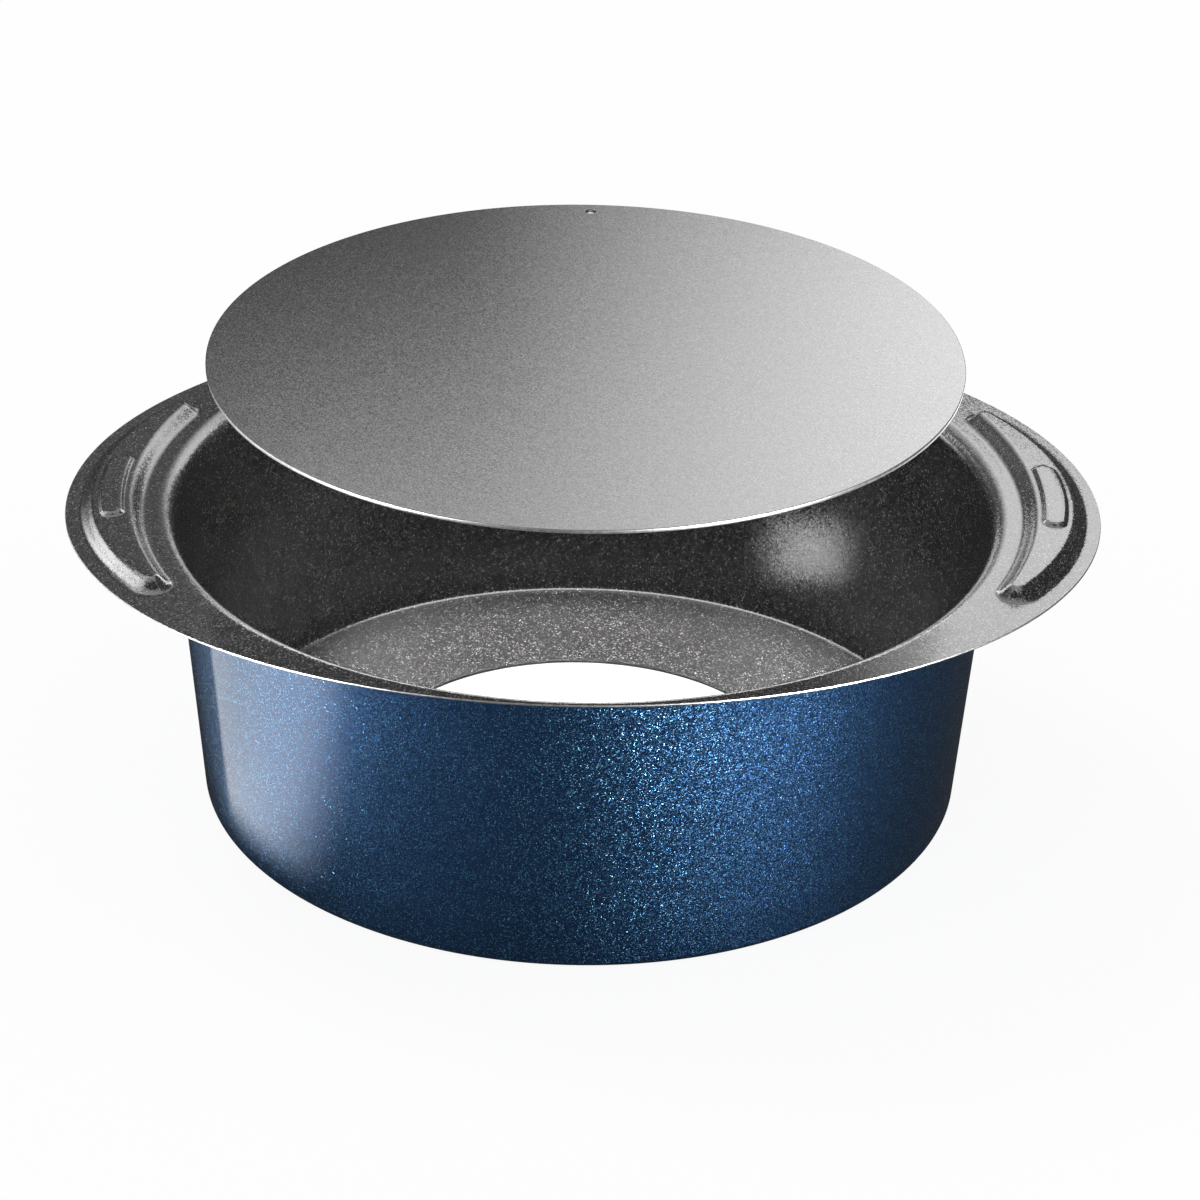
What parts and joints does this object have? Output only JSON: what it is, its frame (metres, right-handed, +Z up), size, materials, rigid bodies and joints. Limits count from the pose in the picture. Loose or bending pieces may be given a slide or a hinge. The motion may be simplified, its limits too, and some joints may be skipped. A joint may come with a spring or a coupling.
{
  "type": "loose-based cake tin",
  "caption": "Round deep cake tin with a drafted wall, an oval rim with pressed ear handles, a floor ledge round a large hole, and a flat loose base that lifts out.",
  "frame": {"origin": "on the tin's axis, at the level of the surface that it stands on", "axes": "+Z up along the tin's axis, +X towards one ear, +Y towards the back of the picture"},
  "size_m": [0.2538, 0.2058, 0.1148],
  "materials": {
    "metallic_blue_coat": "glossy metallic blue with fine flake outside, speckled charcoal non-stick inside and on the rim",
    "grey_nonstick": "satin grey non-stick with fine grain"
  },
  "bodies": {
    "tin": {"tin_body": "metallic_blue_coat"},
    "base": {"loose_base": "grey_nonstick"}
  },
  "joints": [
    {"name": "base_lift", "type": "slide", "parent": "tin", "child": "base", "axis": [0, 0, 1], "range_m": [-0.113, 0]}
  ]
}
